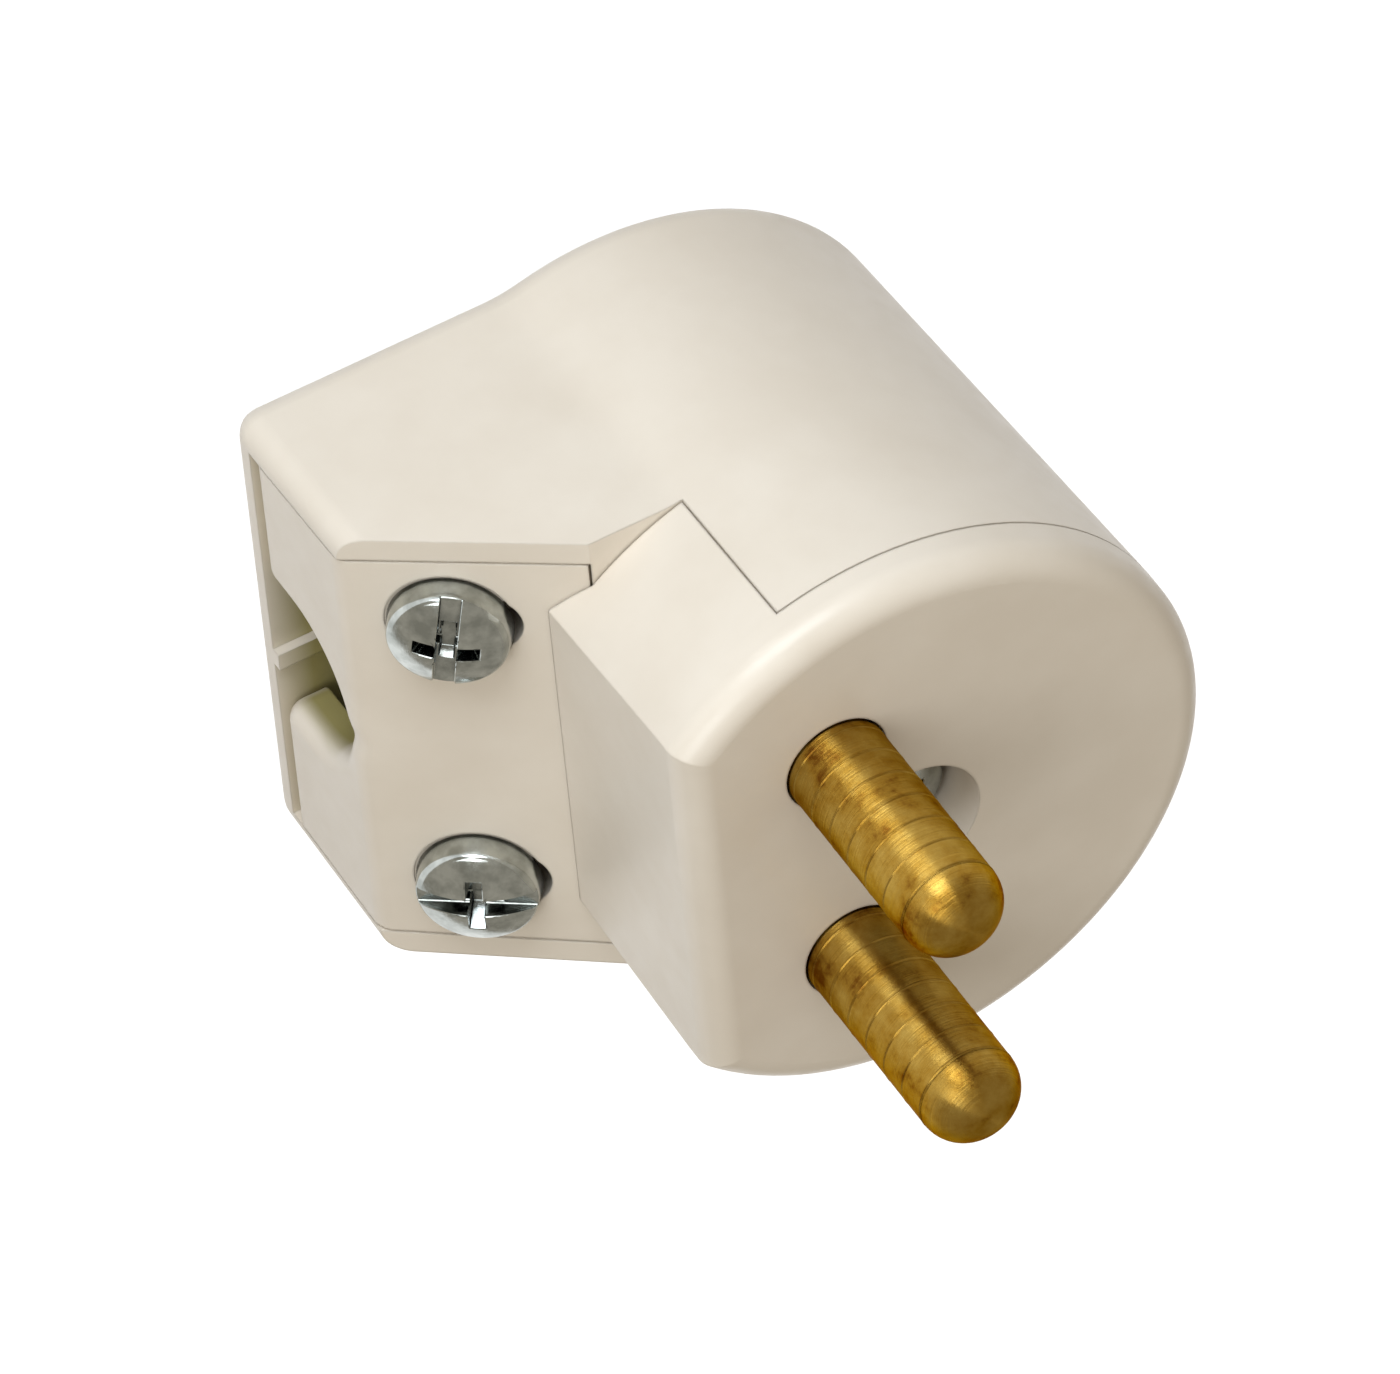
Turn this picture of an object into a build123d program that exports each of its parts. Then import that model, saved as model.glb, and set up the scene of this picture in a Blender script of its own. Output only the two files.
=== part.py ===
"""Angled two-pin plug in millimetres: pins along +Z, cord arm along +X, origin at the middle of the back."""
from build123d import *
import math
import os

# Round body and its front face
body_radius = 15.42
body_depth = 28.4
body_draft = 2.7
seam_depth = 2.45
wall = 1.5
back_wall = 2.0
back_edge_radius = 1.5
flat_offset = 11.3
face_edge_radius = 1.5

# Cord arm of the rear cover
arm_reach = 18.88
arm_step = 0.8
arm_end_height = 10.3
arm_blend_radius = 6.0
arm_end_radius = 1.2
arm_wall = 1.3

# Apron of the pin carrier, which closes the cover beside the flat
apron_start = 4.6
apron_wall = 2.0
joint_clearance = 0.08
plate_depth = 4.0
fit_clearance = 0.25
ledge_thickness = 1.5

# Slanted cord clamp at the end of the arm
clamp_angle = 36.2
clamp_start = 9.5
clamp_thickness = 3.2
clamp_cheek = 2.2
clamp_clearance = 0.12
clamp_floor_gap = 0.15
clamp_bend_radius = 1.2
cord_width = 8.4
cord_height = 6.75
cord_foot_radius = 1.0
cord_lip_radius = 1.0
grip_setback = 7.3
grip_width = 1.4
grip_height = 1.5
floor_rib_offset = 1.5
floor_rib_width = 1.0
floor_rib_height = 0.5

# Clamp screws
clamp_screw_spacing = 17.3
clamp_screw_setback = 4.9
clamp_screw_diameter = 3.0
clamp_screw_length = 12.0
clamp_head_diameter = 5.9
clamp_head_height = 2.1
clamp_head_crown = 0.6
clamp_slot_turns = {-1: 82.0, 1: 0.0}
clamp_seat_depth = 0.1
clamp_hole_play = 1.65
head_clearance = 0.1
clamp_boss_wall = 1.5
hole_clearance = 0.2
thread_clearance = 0.05

# Pins and their terminals
pin_diameter = 5.0
pin_length = 12.25
pin_spacing = 12.6
pin_offset = 3.6
pin_tip_radius = 2.0
pin_neck_diameter = 4.6
pin_clearance = 0.1
terminal_diameter = 7.0
terminal_length = 8.5
terminal_chamfer = 0.4
pocket_wall = 0.85
pocket_depth = 10.0
wire_hole_diameter = 2.8
wire_hole_depth = 7.6
terminal_screw_diameter = 3.0
terminal_screw_length = 3.2
terminal_head_diameter = 5.0
terminal_head_height = 1.7
terminal_head_crown = 0.3
stop_clearance = 0.15
stop_thickness = 1.6
stop_width = 4.0

# Centre screw that holds the cover to the carrier
centre_recess_diameter = 6.8
centre_recess_depth = 3.6
centre_screw_diameter = 3.5
centre_screw_length = 16.0
centre_head_diameter = 6.0
centre_head_height = 1.9
centre_head_crown = 0.5
centre_boss_diameter = 6.4
centre_boss_depth = 10.5

# Drive recesses of the screw heads
slot_width = 1.05
slot_depth = 0.8
cross_width = 0.8
cross_span = 3.4
cross_depth = 1.4
screw_point = 0.6

# Worked-out values
draft_slope = math.tan(math.radians(body_draft))
clamp_slope = math.tan(math.radians(clamp_angle))
clamp_normal = (math.sin(math.radians(clamp_angle)), 0, math.cos(math.radians(clamp_angle)))
clamp_corner_depth = body_depth - arm_end_height
apron_depth = clamp_corner_depth - (arm_reach - clamp_start) * clamp_slope
floor_depth = body_depth - back_wall
foot_depth = floor_depth - clamp_floor_gap
cord_apex_depth = foot_depth - cord_height
terminal_end = plate_depth + terminal_length
margin = 5.0
touch = 0.01
down = (Align.CENTER, Align.CENTER, Align.MAX)


def radius_at(depth):
    """Outer radius of the round body at a depth below the front face."""
    return body_radius - (depth - seam_depth) * draft_slope


def arm_half_at(depth):
    """Outer half width of the cord arm at a depth below the front face."""
    return radius_at(depth) - arm_step


def slant_depth(x):
    """Depth of the slanted clamp face at a distance along the arm."""
    return clamp_corner_depth - (arm_reach - x) * clamp_slope


def slant_x(depth):
    """Distance along the arm at which the slanted face reaches a depth."""
    return arm_reach - (clamp_corner_depth - depth) / clamp_slope


def xz_prism(points, half_width):
    """Polygon in X and Z, run out to both sides along Y."""
    sketch = Plane.XZ * make_face(Polyline(points, close=True))
    return extrude(sketch, half_width, both=True)


def tube(diameter, top, bottom, x=0.0, y=0.0):
    """Upright cylinder between two depths below the front face."""
    height = bottom - top
    return Pos(x, y, -top) * Cylinder(diameter / 2, height, align=down)


def body_solid(top, bottom, round_inset=0.0, arm_inset=0.0):
    """Drafted round body with an endless arm, between two depths."""
    half = arm_half_at(top) - arm_inset
    arm = Rectangle(2 * arm_reach, 2 * half, align=(Align.MIN, Align.CENTER))
    outline = Circle(radius_at(top) - round_inset) + arm
    corners = outline.vertices().sort_by(Axis.X)
    outline = fillet(corners[:2], arm_blend_radius + arm_inset)
    return extrude(Pos(0, 0, -top) * outline, bottom - top, dir=(0, 0, -1), taper=body_draft)


def beyond(x):
    """Everything further along the arm than a distance."""
    outward = (Align.MIN, Align.CENTER, Align.CENTER)
    return Pos(x, 0, 0) * Box(2 * arm_reach, 4 * body_radius, 4 * body_depth, align=outward)


def apron_zone(clearance, x_far):
    """Side profile of the space that the carrier's apron takes in the cover."""
    drop = clearance / math.cos(math.radians(clamp_angle))
    start = apron_start + clearance
    depth = apron_depth - clearance
    turn = slant_x(depth + drop)
    points = [
        (start, margin),
        (start, -depth),
        (turn, -depth),
        (x_far, drop - slant_depth(x_far)),
        (x_far, margin),
    ]
    return xz_prism(points, 2 * body_radius)


def clamp_plane(side, lift=0.0):
    """Plane on the slanted face at one clamp screw, with its Z along the screw."""
    x = arm_reach - clamp_screw_setback * math.cos(math.radians(clamp_angle))
    base = Vector(x, side * clamp_screw_spacing / 2, -slant_depth(x)) + Vector(*clamp_normal) * lift
    return Plane(origin=base, x_dir=(0, 1, 0), z_dir=clamp_normal)


def screw(diameter, length, head_diameter, head_height, crown):
    """Screw along -Z with its seat at the origin, and a slotted cross recess in its domed head."""
    radius = head_diameter / 2
    head = Cylinder(radius, head_height, align=(Align.CENTER, Align.CENTER, Align.MIN))
    dome_radius = (radius**2 + crown**2) / (2 * crown)
    head = head & Pos(0, 0, head_height - dome_radius) * Sphere(dome_radius)
    shank = Cylinder(diameter / 2, length, align=down)
    shank = chamfer(shank.edges().sort_by(Axis.Z)[0], screw_point)
    slot = Pos(0, 0, head_height) * Box(slot_width, 2 * head_diameter, 2 * slot_depth)
    cross = Pos(0, 0, head_height) * Box(cross_width, cross_span, cross_depth, align=down)
    cross += Pos(0, 0, head_height) * Box(cross_span, cross_width, cross_depth, align=down)
    return head + shank - slot - cross


def make_rear_cover():
    """Moulded shell with the cord arm, clamp bosses, centre post and pin stops."""
    outside = body_solid(seam_depth + joint_clearance, body_depth) - beyond(arm_reach)
    ends = [e for e in outside.edges() if is_arm_end(e)]
    outside = fillet(ends, arm_end_radius)
    outside = fillet(outside.edges().group_by(Axis.Z)[0], back_edge_radius)
    inside = body_solid(0, floor_depth, wall, arm_wall)
    cover = outside - inside - apron_zone(0.0, arm_reach + margin)
    ledge = xz_prism([
        (apron_start, -apron_depth),
        (clamp_start, -apron_depth),
        (clamp_start - ledge_thickness * clamp_slope, -apron_depth - ledge_thickness),
        (apron_start, -apron_depth - ledge_thickness),
    ], 2 * body_radius)
    bay = tube(2 * (radius_at(apron_depth) - apron_wall), 0, body_depth)
    cover += (ledge & inside) - bay

    boss_diameter = clamp_screw_diameter + 2 * clamp_boss_wall
    for side in (-1, 1):
        seat = clamp_plane(side, -clamp_thickness)
        boss = seat * Cylinder(boss_diameter / 2, body_depth, align=down)
        cover += boss & inside
    post = tube(centre_boss_diameter, centre_boss_depth, floor_depth)
    cover += post
    for side in (-1, 1):
        top = terminal_end + terminal_head_height + stop_clearance
        stop = Box(stop_thickness, stop_width, floor_depth - top, align=down)
        cover += Pos(pin_offset, side * pin_spacing / 2, -top) * stop

    inward = (Align.MAX, Align.CENTER, Align.CENTER)
    rib = Box(arm_reach - flat_offset, floor_rib_width, 2 * floor_rib_height, align=inward)
    cover += Pos(arm_reach, floor_rib_offset, -floor_depth) * rib

    pilot = clamp_screw_diameter / 2 + thread_clearance
    for side in (-1, 1):
        hole = Cylinder(pilot, clamp_screw_length + screw_point, align=down)
        cover -= clamp_plane(side, -clamp_seat_depth) * hole
    centre_end = centre_recess_depth + centre_screw_length + screw_point
    cover -= tube(centre_screw_diameter + 2 * thread_clearance, 0, centre_end)
    return cover


def is_arm_end(edge):
    """True for the upright edges at the end of the cord arm."""
    return abs(edge.center().X - arm_reach) < touch and edge.bounding_box().size.Z > margin


def carrier_block(top, bottom, inset, draft):
    """D-shaped block of the pin carrier between two depths, drawn in by an inset."""
    outline = Pos(0, 0, -top) * Circle(radius_at(seam_depth) - inset)
    return extrude(outline, bottom - top, dir=(0, 0, -1), taper=draft) - beyond(flat_offset - inset)


def make_pin_carrier():
    """Moulded front with the D-shaped face, pin pockets, centre boss and side apron."""
    rim = carrier_block(0, seam_depth, 0, 0)
    rim = fillet(rim.edges().group_by(Axis.Z)[-1], face_edge_radius)
    spigot = carrier_block(seam_depth, plate_depth, wall + fit_clearance, 0)
    reach = max(apron_depth, slant_depth(flat_offset)) + margin
    outside = carrier_block(seam_depth, reach, 0, body_draft)
    inside = carrier_block(seam_depth, reach, apron_wall, body_draft)
    apron = (outside - inside) & apron_zone(joint_clearance, flat_offset + margin)
    carrier = rim + spigot + apron

    pocket_diameter = terminal_diameter + 2 * pin_clearance
    carrier += tube(centre_boss_diameter, 0, centre_boss_depth)
    for side in (-1, 1):
        y = side * pin_spacing / 2
        carrier += tube(pocket_diameter + 2 * pocket_wall, seam_depth, pocket_depth, pin_offset, y)
    for side in (-1, 1):
        y = side * pin_spacing / 2
        carrier -= tube(pin_diameter + 2 * pin_clearance, -margin, pocket_depth, pin_offset, y)
        carrier -= tube(pocket_diameter, plate_depth, body_depth, pin_offset, y)
        wire_top = wire_hole_depth - wire_hole_diameter / 2
        sideways = (Align.MIN, Align.CENTER, Align.MAX)
        notch = Box(terminal_diameter, wire_hole_diameter, pocket_depth - wire_top, align=sideways)
        carrier -= Pos(pin_offset, y, -wire_top) * notch
    carrier -= tube(centre_recess_diameter, -margin, centre_recess_depth)
    carrier -= tube(centre_screw_diameter + 2 * hole_clearance, 0, body_depth)
    return carrier


def make_cord_clamp():
    """Bridge that closes the arm: end cheek with the cord arch, and slanted plate with its screw seats."""
    plate_drop = clamp_thickness / math.cos(math.radians(clamp_angle))
    inner_x = clamp_start + clamp_clearance * clamp_normal[2]
    cheek_x = arm_reach - clamp_cheek
    under_x = inner_x - clamp_thickness * clamp_normal[0]
    points = [
        (arm_reach, -foot_depth),
        (arm_reach, -clamp_corner_depth),
        (inner_x, -slant_depth(inner_x)),
        (under_x, -slant_depth(under_x) - plate_drop),
        (cheek_x, -slant_depth(cheek_x) - plate_drop),
        (cheek_x, -foot_depth),
    ]
    bridge = xz_prism(points, 2 * body_radius)
    bend = bridge.edges().filter_by(Axis.Y).sort_by_distance((arm_reach, 0, -clamp_corner_depth))[0]
    bridge = fillet(bend, clamp_bend_radius)

    low = arm_half_at(foot_depth) - arm_wall - clamp_clearance
    high = arm_half_at(0) - arm_wall - clamp_clearance
    corners = [(-low, -foot_depth), (low, -foot_depth), (high, 0), (-high, 0)]
    between = Plane.YZ * make_face(Polyline(corners, close=True))
    bridge = bridge & extrude(between, 2 * arm_reach)

    half_cord = cord_width / 2
    spring = cord_apex_depth + half_cord
    leg = foot_depth + margin - spring
    arch = Circle(half_cord) + Pos(0, -leg) * Rectangle(cord_width, leg, align=(Align.CENTER, Align.MIN))
    tunnel = Plane(origin=(arm_reach, 0, -spring), x_dir=(0, 1, 0), z_dir=(1, 0, 0)) * arch
    bridge -= extrude(tunnel, arm_reach - inner_x, both=True)
    feet = [e for e in bridge.edges().filter_by(Axis.X) if is_cord_foot(e)]
    bridge = fillet(feet, cord_foot_radius)
    lip = [e for e in bridge.edges() if is_cord_lip(e)]
    bridge = fillet(lip, cord_lip_radius)

    grip_x = arm_reach - grip_setback * clamp_normal[2]
    grip = Box(grip_width, cord_width, 2 * grip_height)
    tilt = Plane(origin=(grip_x, 0, -slant_depth(grip_x) - plate_drop), x_dir=(0, 1, 0), z_dir=clamp_normal)
    bridge += tilt * Rot(0, 0, 90) * grip
    long_hole = SlotCenterPoint((0, clamp_hole_play / 2), (0, 0), clamp_screw_diameter + 2 * hole_clearance)
    for side in (-1, 1):
        sink = Cylinder(clamp_head_diameter / 2 + head_clearance, 2 * clamp_seat_depth)
        bridge -= clamp_plane(side) * extrude(long_hole, 2 * clamp_thickness, both=True)
        bridge -= clamp_plane(side) * sink
    return bridge


def is_cord_foot(edge):
    """True for the edges where the legs of the cord arch meet the clamp's foot."""
    middle = edge.center()
    return abs(abs(middle.Y) - cord_width / 2) < touch and abs(middle.Z + foot_depth) < touch


def is_cord_lip(edge):
    """True for the edges of the cord arch on the end face of the clamp."""
    middle = edge.center()
    on_end = abs(middle.X - arm_reach) < touch and edge.bounding_box().size.X < touch
    in_arch = abs(middle.Y) < cord_width / 2 + cord_foot_radius
    return on_end and in_arch and middle.Z < touch - cord_apex_depth


def make_pin(side):
    """Turned contact pin with a rounded tip and a pillar terminal behind the carrier's plate."""
    shaft = tube(pin_diameter, -pin_length, 0)
    shaft = fillet(shaft.edges().sort_by(Axis.Z)[-1], pin_tip_radius)
    terminal = tube(terminal_diameter, plate_depth, terminal_end)
    terminal = chamfer(terminal.edges().sort_by(Axis.Z)[0], terminal_chamfer)
    pin = shaft + tube(pin_neck_diameter, 0, plate_depth) + terminal
    wire_hole = Rot(0, 90, 0) * Cylinder(wire_hole_diameter / 2, 2 * terminal_diameter)
    pin -= Pos(0, 0, -wire_hole_depth) * wire_hole
    pin -= tube(terminal_screw_diameter + 2 * thread_clearance, wire_hole_depth, terminal_end)
    return Pos(pin_offset, side * pin_spacing / 2, 0) * pin


def make_terminal_screws():
    """Wire screws in the rear ends of the pins."""
    one = screw(
        terminal_screw_diameter, terminal_screw_length,
        terminal_head_diameter, terminal_head_height, terminal_head_crown,
    )
    turned = Rot(180, 0, 0) * one
    return [Pos(pin_offset, side * pin_spacing / 2, -terminal_end) * turned for side in (-1, 1)]


def make_clamp_screws():
    """Pan-head screws that pull the clamp down on the cord."""
    one = screw(
        clamp_screw_diameter, clamp_screw_length,
        clamp_head_diameter, clamp_head_height, clamp_head_crown,
    )
    seats = {side: clamp_plane(side, -clamp_seat_depth) for side in (-1, 1)}
    return [seat * Rot(0, 0, clamp_slot_turns[side]) * one for side, seat in seats.items()]


def make_centre_screw():
    """Screw through the front face into the cover's post."""
    one = screw(
        centre_screw_diameter, centre_screw_length,
        centre_head_diameter, centre_head_height, centre_head_crown,
    )
    return Pos(0, 0, -centre_recess_depth) * one


os.makedirs("parts", exist_ok=True)
pieces = {
    "rear_cover": make_rear_cover(),
    "pin_carrier": make_pin_carrier(),
    "cord_clamp": make_cord_clamp(),
    "left_contact_pin": make_pin(-1),
    "right_contact_pin": make_pin(1),
    "terminal_screws": Compound(children=make_terminal_screws()),
    "clamp_screws": Compound(children=make_clamp_screws()),
    "centre_screw": make_centre_screw(),
}
for name, piece in pieces.items():
    export_step(Pos(0, 0, body_depth) * piece, f"parts/{name}.step")
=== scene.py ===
"""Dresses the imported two-pin plug and sets up its studio picture, in metres."""
import math

import bmesh
import bpy
from mathutils import Matrix, Vector


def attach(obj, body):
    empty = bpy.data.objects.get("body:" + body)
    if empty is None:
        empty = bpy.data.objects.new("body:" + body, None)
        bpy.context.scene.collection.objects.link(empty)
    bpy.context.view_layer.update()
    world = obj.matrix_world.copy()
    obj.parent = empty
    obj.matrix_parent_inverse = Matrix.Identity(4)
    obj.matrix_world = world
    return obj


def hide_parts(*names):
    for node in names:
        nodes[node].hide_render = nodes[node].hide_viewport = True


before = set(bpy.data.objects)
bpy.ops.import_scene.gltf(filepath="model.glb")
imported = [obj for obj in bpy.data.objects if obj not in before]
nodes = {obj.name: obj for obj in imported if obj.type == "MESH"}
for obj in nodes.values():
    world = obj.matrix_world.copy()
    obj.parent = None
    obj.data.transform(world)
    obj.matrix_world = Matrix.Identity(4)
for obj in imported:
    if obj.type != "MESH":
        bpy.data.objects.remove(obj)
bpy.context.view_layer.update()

MM = 0.001
SCENE = bpy.context.scene

# Sizes shared with the solids, in millimetres
FACE = 28.4
PIN_X = 3.6
PIN_Y = 6.3
PIN_RADIUS = 2.5
PIN_TOP = 40.65
TERMINAL_RADIUS = 3.5
TERMINAL_LOW = 15.9
TERMINAL_TOP = 24.4
WIRE_HOLE_RADIUS = 1.4
WIRE_HOLE_HEIGHT = 20.8
ARM_REACH = 18.88
ARM_END_HEIGHT = 10.3
SLANT = math.radians(36.2)
CLAMP_SCREW_SETBACK = 4.9
CLAMP_SCREW_SIDE = 8.65
CLAMP_SEAT_DEPTH = 0.1
CENTRE_SEAT_DEPTH = 3.6

# Colour stops of the materials
WHITE = (1.0, 1.0, 1.0)
CREAM = [(0.35, (0.730, 0.662, 0.565)), (0.65, (0.770, 0.706, 0.612))]
# Painted shade: olive darkening laid on the cream inside the arm and the cord arch
PAINTED_INSIDE_SHADE = [(0.0, WHITE), (1.0, (0.45, 0.43, 0.20))]
TARNISHED_BRASS = [
    (0.34, (0.17, 0.068, 0.008)),
    (0.45, (0.35, 0.195, 0.028)),
    (0.68, (0.48, 0.315, 0.072)),
]
BRASS_EDGE_TINT = (0.45, 0.30, 0.12, 1)
GREY_ZINC = [(0.34, (0.34, 0.365, 0.35)), (0.66, (0.55, 0.585, 0.57))]
# Painted shade: near black where the zinc's recesses are deep
PAINTED_RECESS_SHADE = [(0.31, (0.02, 0.03, 0.03)), (0.62, WHITE)]

# Where the painted shade inside the arm is gone and where it is full, in millimetres along an axis
FLOOR_SHADE = (("Z", 4.0, 3.5), ("X", 19.2, 17.0))
ARCH_SHADE = (("Z", 7.4, 6.8), ("X", 18.7, 17.6))
ARCH_SIDE_SHADE = (4.5, 4.22)

# Radius to which the shading rounds the edges of the mouldings, in millimetres
SOFT_EDGE = 0.16

# Most of a noise texture lies in this range
NOISE_RANGE = (0.3, 0.7)

# Edges of the mesh pieces that bend more than this stay sharp
SHARP_ANGLE = math.radians(32)


# Materials

def new_material(name):
    """Empty node material with one Principled shader."""
    made = bpy.data.materials.new(name)
    made.use_nodes = True
    tree = made.node_tree
    tree.nodes.clear()
    out = tree.nodes.new("ShaderNodeOutputMaterial")
    shader = tree.nodes.new("ShaderNodeBsdfPrincipled")
    tree.links.new(shader.outputs["BSDF"], out.inputs["Surface"])
    return made, tree, shader


def object_coords(tree, stretch=(1.0, 1.0, 1.0)):
    """Object coordinates, stretched along the axes."""
    place = tree.nodes.new("ShaderNodeTexCoord")
    mapping = tree.nodes.new("ShaderNodeMapping")
    mapping.inputs["Scale"].default_value = stretch
    tree.links.new(place.outputs["Object"], mapping.inputs["Vector"])
    return mapping.outputs["Vector"]


def noise(tree, coords, per_mm, detail=3.0, rough=0.55):
    """Noise with a number of features per millimetre."""
    made = tree.nodes.new("ShaderNodeTexNoise")
    made.inputs["Scale"].default_value = per_mm / MM
    made.inputs["Detail"].default_value = detail
    made.inputs["Roughness"].default_value = rough
    tree.links.new(coords, made.inputs["Vector"])
    return made.outputs["Fac"]


def ramp(tree, value, stops):
    """Colour ramp of (position, colour) stops."""
    made = tree.nodes.new("ShaderNodeValToRGB")
    band = made.color_ramp
    while len(band.elements) < len(stops):
        band.elements.new(0.5)
    for element, (place, colour) in zip(band.elements, stops):
        element.position = place
        element.color = (*colour, 1.0)
    tree.links.new(value, made.inputs["Fac"])
    return made.outputs["Color"]


def remap(tree, value, old, new=(0.0, 1.0)):
    """Value brought from one range to another, and held there."""
    made = tree.nodes.new("ShaderNodeMapRange")
    for name, number in zip(("From Min", "From Max", "To Min", "To Max"), (*old, *new)):
        made.inputs[name].default_value = number
    tree.links.new(value, made.inputs["Value"])
    return made.outputs["Result"]


def bump(tree, height, depth_mm, strength, under=None):
    """Bump of a height, on top of an earlier one."""
    made = tree.nodes.new("ShaderNodeBump")
    made.inputs["Strength"].default_value = strength
    made.inputs["Distance"].default_value = depth_mm * MM
    tree.links.new(height, made.inputs["Height"])
    if under is not None:
        tree.links.new(under, made.inputs["Normal"])
    return made.outputs["Normal"]


def round_edge(tree, radius_mm):
    """Normal that rounds the sharp edges of a surface."""
    made = tree.nodes.new("ShaderNodeBevel")
    made.samples = 3
    made.inputs["Radius"].default_value = radius_mm * MM
    return made.outputs["Normal"]


def crevice(tree, reach_mm):
    """Value that falls in narrow recesses."""
    made = tree.nodes.new("ShaderNodeAmbientOcclusion")
    made.samples = 4
    made.inputs["Distance"].default_value = reach_mm * MM
    return made.outputs["AO"]


def split(tree, vector, axis):
    """One component of a vector."""
    made = tree.nodes.new("ShaderNodeSeparateXYZ")
    tree.links.new(vector, made.inputs[0])
    return made.outputs[axis]


def maths(tree, operation, *values):
    """Result of one step of arithmetic."""
    made = tree.nodes.new("ShaderNodeMath")
    made.operation = operation
    for socket, value in zip(made.inputs, values):
        tree.links.new(value, socket)
    return made.outputs[0]


def within(tree, coords, value, limits):
    """Value that fades out towards limits of (axis, where it is gone, where it is full)."""
    for axis, gone, full in limits:
        share = remap(tree, split(tree, coords, axis), (gone * MM, full * MM))
        value = maths(tree, "MULTIPLY", value, share)
    return value


def painted_floor_shade(tree, coords):
    """Mask of painted shade that rises on the floor inside the arm, away from its open end."""
    facing = tree.nodes.new("ShaderNodeNewGeometry").outputs["Normal"]
    upward = remap(tree, split(tree, facing, "Z"), (0.5, 0.8))
    return within(tree, coords, upward, FLOOR_SHADE)


def painted_arch_shade(tree, coords):
    """Mask of painted shade that rises on the inner faces of the cord arch, away from its lips."""
    across = maths(tree, "ABSOLUTE", split(tree, coords, "Y"))
    gone, full = ARCH_SIDE_SHADE
    between = remap(tree, across, (gone * MM, full * MM))
    return within(tree, coords, between, ARCH_SHADE)


def multiply(tree, first, second):
    """Product of two colours."""
    made = tree.nodes.new("ShaderNodeMix")
    made.data_type = "RGBA"
    made.blend_type = "MULTIPLY"
    made.inputs["Factor"].default_value = 1.0
    tree.links.new(first, made.inputs["A"])
    tree.links.new(second, made.inputs["B"])
    return made.outputs["Result"]


def moulding_material(name, inside=None):
    """Cream moulded plastic with a faint cloudiness and a satin skin, with painted olive shade inside a
    hollow piece.
    """
    made, tree, shader = new_material(name)
    coords = object_coords(tree)
    colour = ramp(tree, noise(tree, coords, per_mm=0.16, detail=4.0), CREAM)
    # Painted shade: the cream darkens towards olive where the mask rises inside the hollow
    if inside is not None:
        colour = multiply(tree, colour, ramp(tree, inside(tree, coords), PAINTED_INSIDE_SHADE))
    tree.links.new(colour, shader.inputs["Base Color"])
    satin = remap(tree, noise(tree, coords, per_mm=0.9), NOISE_RANGE, (0.30, 0.40))
    tree.links.new(satin, shader.inputs["Roughness"])
    grain = noise(tree, coords, per_mm=5.0, detail=2.0)
    skin = bump(tree, grain, depth_mm=0.02, strength=0.10, under=round_edge(tree, SOFT_EDGE))
    sink = noise(tree, coords, per_mm=0.22, detail=1.0)
    wave = bump(tree, sink, depth_mm=0.05, strength=0.25, under=skin)
    tree.links.new(wave, shader.inputs["Normal"])
    return made


def brass_material():
    """Turned brass with tool lines round the pin and brown tarnish in patches."""
    made, tree, shader = new_material("turned_brass")
    shader.inputs["Metallic"].default_value = 1.0
    patches = noise(tree, object_coords(tree), per_mm=0.45, detail=6.0, rough=0.65)
    tree.links.new(ramp(tree, patches, TARNISHED_BRASS), shader.inputs["Base Color"])
    lines = noise(tree, object_coords(tree, (0.02, 0.02, 1.0)), per_mm=9.0, rough=0.7)
    tree.links.new(remap(tree, lines, NOISE_RANGE, (0.28, 0.40)), shader.inputs["Roughness"])
    tree.links.new(bump(tree, lines, depth_mm=0.05, strength=0.6), shader.inputs["Normal"])
    shader.inputs["Anisotropic"].default_value = 0.9
    shader.inputs["Anisotropic Rotation"].default_value = 0.25
    shader.inputs["Specular Tint"].default_value = BRASS_EDGE_TINT
    return made


def zinc_material():
    """Bright zinc plate, slightly green, with small scratches and painted shade darkening its recesses."""
    made, tree, shader = new_material("zinc_plate")
    shader.inputs["Metallic"].default_value = 1.0
    coords = object_coords(tree)
    plate = ramp(tree, noise(tree, coords, per_mm=1.1, detail=4.0), GREY_ZINC)
    # Painted shade: ambient occlusion darkens the plate in the slot, the cross and round the seats
    recess_shade = ramp(tree, crevice(tree, reach_mm=1.2), PAINTED_RECESS_SHADE)
    tree.links.new(multiply(tree, plate, recess_shade), shader.inputs["Base Color"])
    polish = remap(tree, noise(tree, coords, per_mm=2.6), NOISE_RANGE, (0.09, 0.22))
    tree.links.new(polish, shader.inputs["Roughness"])
    scratches = noise(tree, object_coords(tree, (1.0, 0.12, 1.0)), per_mm=7.0, detail=4.0, rough=0.65)
    tree.links.new(bump(tree, scratches, depth_mm=0.02, strength=0.14), shader.inputs["Normal"])
    return made


MOULDING = moulding_material("cream_moulding")
# Copies of the moulding with painted shade inside the arm and the cord arch
SHELL_WITH_PAINTED_SHADE = moulding_material("cream_shell_painted_shade", painted_floor_shade)
BRIDGE_WITH_PAINTED_SHADE = moulding_material("cream_bridge_painted_shade", painted_arch_shade)
BRASS = brass_material()
ZINC = zinc_material()


def dress(obj, finish):
    """Give an object one material."""
    obj.data.materials.clear()
    obj.data.materials.append(finish)


# Shading of the mesh pieces

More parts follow.
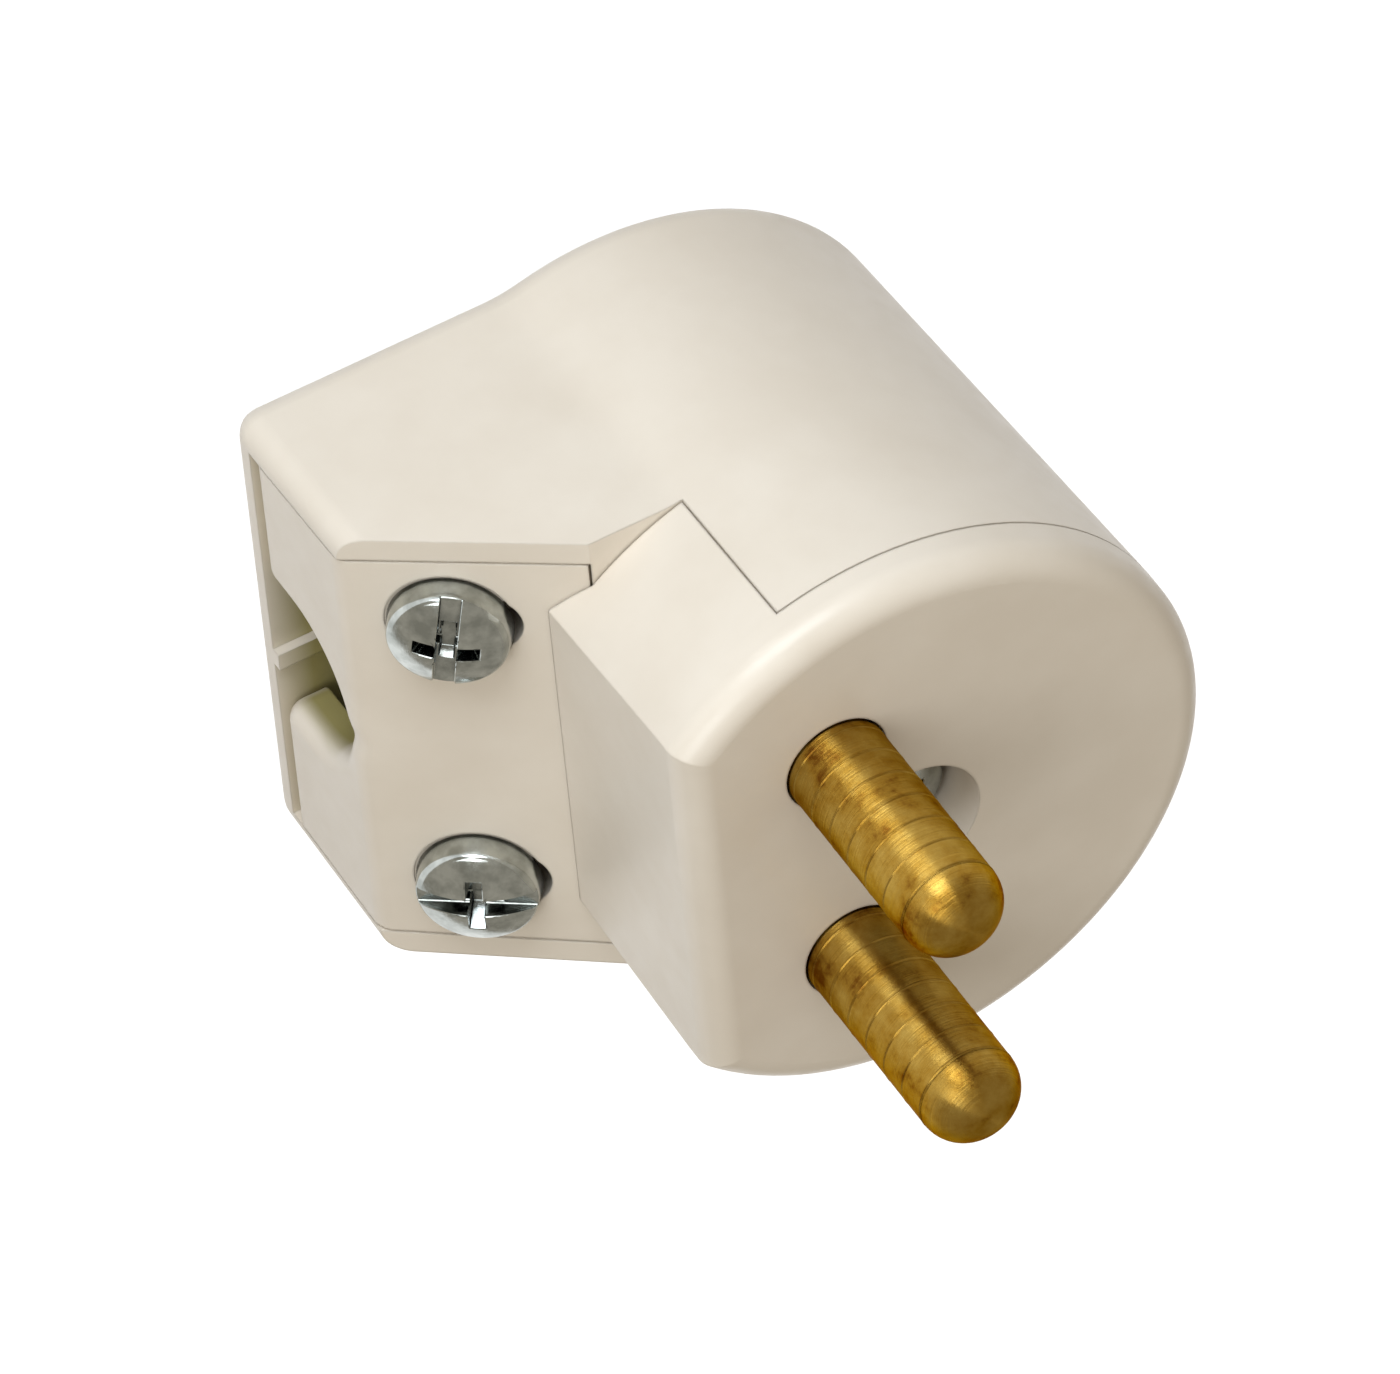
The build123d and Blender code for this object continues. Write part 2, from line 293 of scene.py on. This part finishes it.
def shading_group():
    """Smooth shading that keeps the edges sharper than an angle."""
    group = bpy.data.node_groups.new("shade_by_angle", "GeometryNodeTree")
    group.interface.new_socket("Geometry", in_out="INPUT", socket_type="NodeSocketGeometry")
    group.interface.new_socket("Geometry", in_out="OUTPUT", socket_type="NodeSocketGeometry")
    start = group.nodes.new("NodeGroupInput")
    end = group.nodes.new("NodeGroupOutput")
    angle = group.nodes.new("GeometryNodeInputMeshEdgeAngle")
    sharp = group.nodes.new("FunctionNodeCompare")
    sharp.data_type = "FLOAT"
    sharp.operation = "GREATER_THAN"
    sharp.inputs[1].default_value = SHARP_ANGLE
    normal = group.nodes.new("GeometryNodeSetMeshNormal")
    normal.mode = "SHARPNESS"
    group.links.new(angle.outputs["Unsigned Angle"], sharp.inputs[0])
    group.links.new(start.outputs[0], normal.inputs["Mesh"])
    group.links.new(sharp.outputs["Result"], normal.inputs["Edge Sharpness"])
    group.links.new(normal.outputs["Mesh"], end.inputs[0])
    normal.inputs["Remove Custom"].default_value = True
    normal.inputs["Face Sharpness"].default_value = False
    return group


SHADE = shading_group()


def shade_by_angle(obj):
    """Smooth an object but for its sharp edges."""
    shade = obj.modifiers.new("shade", "NODES")
    shade.node_group = SHADE


# Mesh pieces

def mesh_object(name):
    """Empty mesh object in the scene."""
    obj = bpy.data.objects.new(name, bpy.data.meshes.new(name))
    SCENE.collection.objects.link(obj)
    return obj


def new_piece(name, finish, slot, *stands_for):
    """Empty mesh object that rides the plug and stands for solids."""
    obj = mesh_object(name)
    dress(obj, finish)
    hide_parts(*stands_for)
    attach(obj, "root")
    return obj


def evaluated_mesh(obj):
    """New mesh of an object with its modifiers applied."""
    bpy.context.view_layer.update()
    whole = obj.evaluated_get(bpy.context.evaluated_depsgraph_get())
    return bpy.data.meshes.new_from_object(whole)


def discard(obj):
    """Delete an object and its mesh."""
    mesh = obj.data
    bpy.data.objects.remove(obj)
    bpy.data.meshes.remove(mesh)


def revolve(mesh, profile, around=96):
    """Turn a profile of (radius, height) points about Z; points on the axis close it."""
    rings = []
    for radius, height in profile:
        if radius < 1e-9:
            rings.append([mesh.verts.new((0, 0, height * MM))])
            continue
        ring = []
        for k in range(around):
            a = 2 * math.pi * k / around
            ring.append(mesh.verts.new((radius * math.cos(a) * MM, radius * math.sin(a) * MM, height * MM)))
        rings.append(ring)
    for low, high in zip(rings, rings[1:]):
        for k in range(around):
            n = (k + 1) % around
            if len(low) == 1:
                mesh.faces.new((low[0], high[n], high[k]))
            elif len(high) == 1:
                mesh.faces.new((low[k], low[n], high[0]))
            else:
                mesh.faces.new((low[k], low[n], high[n], high[k]))


def arc(centre, radius, start, stop, count):
    """Points of a circular arc in a (radius, height) profile, angles in degrees."""
    points = []
    for k in range(count + 1):
        a = math.radians(start + (stop - start) * k / count)
        points.append((centre[0] + radius * math.cos(a), centre[1] + radius * math.sin(a)))
    return points


def settle(obj, mesh):
    """Store a bmesh in an object with outward normals and smooth faces."""
    bmesh.ops.recalc_face_normals(mesh, faces=mesh.faces)
    for face in mesh.faces:
        face.smooth = True
    mesh.to_mesh(obj.data)
    mesh.free()


def pin_profile():
    """Pin from the terminal's screw hole round to the tip, with turned rings on the shaft."""
    screw_hole, neck = 1.55, 2.3
    low_chamfer, top_chamfer, shaft_chamfer = 0.4, 0.15, 0.06
    points = [
        (0, WIRE_HOLE_HEIGHT),
        (screw_hole, WIRE_HOLE_HEIGHT),
        (screw_hole, TERMINAL_LOW),
        (TERMINAL_RADIUS - low_chamfer, TERMINAL_LOW),
        (TERMINAL_RADIUS, TERMINAL_LOW + low_chamfer),
        (TERMINAL_RADIUS, TERMINAL_TOP - top_chamfer),
        (TERMINAL_RADIUS - top_chamfer, TERMINAL_TOP),
        (neck, TERMINAL_TOP),
        (neck, FACE),
        (PIN_RADIUS - shaft_chamfer, FACE),
        (PIN_RADIUS, FACE + shaft_chamfer),
    ]
    rings, first_ring, ring_step = 7, 0.5, 1.62
    lip, groove = 0.015, 0.045
    ring = [(0, -0.16), (0, -0.09), (lip, -0.05), (-groove, 0.02), (0, 0.05), (0, 0.12)]
    for k in range(rings):
        middle = FACE + first_ring + ring_step * k
        points += [(PIN_RADIUS + out, middle + along) for out, along in ring]
    tip_radius = 2.0
    tip_centre = (PIN_RADIUS - tip_radius, PIN_TOP - tip_radius)
    points += arc(tip_centre, tip_radius, start=0, stop=90, count=14)
    points.append((0, PIN_TOP))
    return points


def cut(obj, cutters):
    """Take closed cutter meshes out of an object for good."""
    tools = []
    for k, mesh in enumerate(cutters):
        tool = mesh_object(f"cutter_{k}")
        settle(tool, mesh)
        step = obj.modifiers.new(f"cut_{k}", "BOOLEAN")
        step.operation = "DIFFERENCE"
        step.solver = "EXACT"
        step.object = tool
        tools.append(tool)
    made = evaluated_mesh(obj)
    obj.modifiers.clear()
    old = obj.data
    obj.data = made
    bpy.data.meshes.remove(old)
    for tool in tools:
        discard(tool)


def make_pin(name, node, y):
    """One turned pin with its terminal and wire hole."""
    obj = new_piece(name, BRASS, "brass", node)
    mesh = bmesh.new()
    revolve(mesh, pin_profile())
    bmesh.ops.translate(mesh, verts=mesh.verts, vec=(PIN_X * MM, y * MM, 0))
    settle(obj, mesh)
    hole = bmesh.new()
    middle = Matrix.Translation((PIN_X * MM, y * MM, WIRE_HOLE_HEIGHT * MM))
    bmesh.ops.create_cone(
        hole, cap_ends=True, segments=48, depth=4 * TERMINAL_RADIUS * MM,
        radius1=WIRE_HOLE_RADIUS * MM, radius2=WIRE_HOLE_RADIUS * MM,
        matrix=middle @ Matrix.Rotation(math.pi / 2, 4, "Y"),
    )
    cut(obj, [hole])
    shade_by_angle(obj)


def thread_rings(mesh, radius, pitch, length):
    """Threaded shank below the seat, with a blunt point; returns its top ring."""
    around, rows_per_turn = 40, 8
    run_out, flank, point = 0.6, 2.6, 0.6
    root = radius - 0.55 * pitch
    rows = int(length / pitch * rows_per_turn)
    rings = []
    for row in range(rows + 1):
        depth = length * row / rows
        start = min(1.0, depth / run_out)
        end = min(1.0, (length - depth) / run_out)
        ring = []
        for k in range(around):
            a = 2 * math.pi * k / around
            phase = (depth / pitch + k / around) % 1.0
            crest = max(0.0, 1.0 - abs(phase - 0.5) * flank)
            r = root + (radius - root) * crest * start
            r *= point + (1.0 - point) * end
            ring.append(mesh.verts.new((r * math.cos(a) * MM, r * math.sin(a) * MM, -depth * MM)))
        rings.append(ring)
    for low, high in zip(rings, rings[1:]):
        for k in range(around):
            n = (k + 1) % around
            mesh.faces.new((low[k], high[k], high[n], low[n]))
    mesh.faces.new(rings[-1])
    return rings[0]


def head_cutters(height):
    """Slot across a head of some height, and a cross with sloping ends."""
    slot_width, slot_length, slot_depth = 1.0, 10.0, 0.95
    cross_width, cross_span, cross_depth = 0.8, 3.4, 1.5
    side_slope, end_slope = 0.08, 0.75
    above, wider, longer = 0.4, 0.02, 0.2
    slot = bmesh.new()
    bmesh.ops.create_cube(slot, size=1.0)
    bmesh.ops.scale(slot, verts=slot.verts, vec=(slot_width * MM, slot_length * MM, 2 * slot_depth * MM))
    bmesh.ops.translate(slot, verts=slot.verts, vec=(0, 0, height * MM))
    top = (cross_width / 2 + wider, cross_span / 2 + longer, height + above)
    low = (cross_width / 2 - side_slope, cross_span / 2 - end_slope, height - cross_depth)
    found = [slot]
    for turn in (0, 90):
        arm = bmesh.new()
        corners = []
        for x, y, z in (top, low):
            for sx, sy in ((-1, -1), (1, -1), (1, 1), (-1, 1)):
                corners.append(arm.verts.new((sx * x * MM, sy * y * MM, z * MM)))
        arm.faces.new(corners[3::-1])
        arm.faces.new(corners[4:])
        for k in range(4):
            n = (k + 1) % 4
            arm.faces.new((corners[k], corners[n], corners[n + 4], corners[k + 4]))
        bmesh.ops.rotate(arm, verts=arm.verts, matrix=Matrix.Rotation(math.radians(turn), 3, "Z"))
        found.append(arm)
    return found


def head_profile(radius, rim, height):
    """Raised head from its seat over the rounded rim to the crown."""
    foot, foot_bend = 0.12, 0.035
    taper, edge, edge_turn, steps = 0.10, 0.45, 66, 8
    profile = [(0, 0), (radius - foot, 0), (radius - foot_bend, foot_bend), (radius, foot)]
    profile += arc((radius - taper - edge, rim - edge), edge, start=0, stop=edge_turn, count=steps)
    rim_radius, rim_height = profile[-1]
    for k in range(1, steps):
        left = 1 - k / steps
        profile.append((rim_radius * left, rim_height + (height - rim_height) * (1 - left ** 2)))
    profile.append((0, height))
    return profile


def screw_mesh(name, head, rim, height, radius, length, pitch):
    """Raised-head screw along -Z with its seat at the origin, as a mesh."""
    blank = mesh_object(name)
    mesh = bmesh.new()
    revolve(mesh, head_profile(head, rim, height), around=80)
    settle(blank, mesh)
    cut(blank, head_cutters(height))
    chamfer = blank.modifiers.new("chamfer", "BEVEL")
    chamfer.width = 0.04 * MM
    chamfer.segments = 1
    chamfer.limit_method = "ANGLE"
    chamfer.angle_limit = math.radians(40)
    chamfer.use_clamp_overlap = False
    chamfer.loop_slide = False
    made = evaluated_mesh(blank)
    body = bmesh.new()
    body.from_mesh(made)
    top = thread_rings(body, radius, pitch, length)
    body.faces.new(top[::-1])
    discard(blank)
    bpy.data.meshes.remove(made)
    for face in body.faces:
        face.smooth = True
    result = bpy.data.meshes.new(name)
    body.to_mesh(result)
    body.free()
    return result


def place_screws(name, node, source, places):
    """One piece from a screw mesh put in several places."""
    obj = new_piece(name, ZINC, "zinc", node)
    whole = bmesh.new()
    for matrix in places:
        copy = source.copy()
        copy.transform(matrix)
        whole.from_mesh(copy)
        bpy.data.meshes.remove(copy)
    whole.to_mesh(obj.data)
    whole.free()
    shade_by_angle(obj)


def clamp_place(side, turn):
    """Seat of one clamp screw on the slanted plate."""
    x = ARM_REACH - CLAMP_SCREW_SETBACK * math.cos(SLANT)
    z = ARM_END_HEIGHT + CLAMP_SCREW_SETBACK * math.sin(SLANT)
    normal = Vector((math.sin(SLANT), 0, math.cos(SLANT)))
    seat = Vector((x, side * CLAMP_SCREW_SIDE, z)) - normal * CLAMP_SEAT_DEPTH
    across = Vector((0, 1, 0))
    along = normal.cross(across)
    place = Matrix((across, along, normal)).transposed().to_4x4()
    place.translation = seat * MM
    return place @ Matrix.Rotation(math.radians(turn), 4, "Z")


# Plug
dress(nodes["rear_cover"], SHELL_WITH_PAINTED_SHADE)
dress(nodes["pin_carrier"], MOULDING)
dress(nodes["cord_clamp"], BRIDGE_WITH_PAINTED_SHADE)
dress(nodes["terminal_screws"], ZINC)
make_pin("left_turned_pin", "left_contact_pin", -PIN_Y)
make_pin("right_turned_pin", "right_contact_pin", PIN_Y)
clamp_screw = screw_mesh(
    "clamp_screw_source", head=2.95, rim=1.5, height=2.1, radius=1.5, length=12.0, pitch=0.5)
clamp_places = [clamp_place(side=-1, turn=82.0), clamp_place(side=1, turn=0.0)]
place_screws("clamp_screw_pair", "clamp_screws", clamp_screw, clamp_places)
centre_screw = screw_mesh(
    "centre_screw_source", head=3.0, rim=1.4, height=1.9, radius=1.75, length=16.0, pitch=0.6)
centre_place = Matrix.Translation((0, 0, (FACE - CENTRE_SEAT_DEPTH) * MM))
place_screws("centre_screw_turned", "centre_screw", centre_screw, [centre_place])
for spare in (clamp_screw, centre_screw):
    bpy.data.meshes.remove(spare)


# Studio

def studio_floor():
    """Pale floor that stays white to the eye and in reflections, and keeps the soft shadow."""
    half, drop = 6.0, 0.05 * MM
    obj = mesh_object("studio_floor")
    corners = [(-half, -half, 0), (half, -half, 0), (half, half, 0), (-half, half, 0)]
    obj.data.from_pydata(corners, [], [(0, 1, 2, 3)])
    obj.location.z = -drop
    made = bpy.data.materials.new("pale_floor")
    made.use_nodes = True
    tree = made.node_tree
    tree.nodes.clear()
    out = tree.nodes.new("ShaderNodeOutputMaterial")
    matte = tree.nodes.new("ShaderNodeBsdfDiffuse")
    matte.inputs["Color"].default_value = (0.35, 0.35, 0.35, 1)
    glow = tree.nodes.new("ShaderNodeEmission")
    glow.inputs["Color"].default_value = (0.96, 0.96, 0.96, 1)
    path = tree.nodes.new("ShaderNodeLightPath")
    seen = path.outputs["Is Camera Ray"]
    for ray in ("Is Glossy Ray", "Is Transmission Ray"):
        seen = maths(tree, "MAXIMUM", seen, path.outputs[ray])
    tree.links.new(seen, glow.inputs["Strength"])
    both = tree.nodes.new("ShaderNodeAddShader")
    tree.links.new(matte.outputs[0], both.inputs[0])
    tree.links.new(glow.outputs[0], both.inputs[1])
    tree.links.new(both.outputs[0], out.inputs["Surface"])
    obj.data.materials.append(made)


def studio_world():
    """Even, slightly warm surroundings."""
    world = bpy.data.worlds.new("studio")
    SCENE.world = world
    world.use_nodes = True
    back = world.node_tree.nodes["Background"]
    back.inputs["Color"].default_value = (1.0, 0.91, 0.77, 1)
    back.inputs["Strength"].default_value = 0.46


def soft_light(name, place, width, height, watts, colour):
    """Area light that faces the middle of the plug."""
    data = bpy.data.lights.new(name, "AREA")
    data.shape = "RECTANGLE"
    data.size = width
    data.size_y = height
    data.energy = watts
    data.color = colour
    obj = bpy.data.objects.new(name, data)
    SCENE.collection.objects.link(obj)
    middle = Vector((0, 0, 0.015))
    obj.location = place
    obj.rotation_euler = (middle - Vector(place)).to_track_quat("-Z", "Y").to_euler()


def photo_camera():
    """Long lens at the photograph's angle and tilt."""
    data = bpy.data.cameras.new("photo_camera")
    data.sensor_width = 36.0
    data.sensor_fit = "HORIZONTAL"
    data.lens = 642.86
    data.clip_start = 0.05
    data.clip_end = 20.0
    roll = math.radians(141.4)
    distance = 1.1342
    aim = Vector((0.005917, -0.004894, 0.019748))
    back = Vector((0.2884, -0.7354, 0.6132)).normalized()
    level = Vector((0, 0, 1)).cross(back).normalized()
    upright = back.cross(level)
    right = level * math.cos(roll) + upright * math.sin(roll)
    up = back.cross(right)
    obj = bpy.data.objects.new("photo_camera", data)
    SCENE.collection.objects.link(obj)
    matrix = Matrix((right, up, back)).transposed().to_4x4()
    matrix.translation = aim + back * distance
    obj.matrix_world = matrix
    SCENE.camera = obj


studio_floor()
studio_world()
soft_light("key", (0.06, -0.192, 0.045), width=0.12, height=0.11, watts=0.29, colour=(0.87, 0.93, 1.0))
soft_light("side", (0.36, -0.24, 0.36), width=0.3, height=0.25, watts=0.92, colour=(0.95, 0.98, 1.0))
photo_camera()
SCENE.view_settings.view_transform = "Standard"
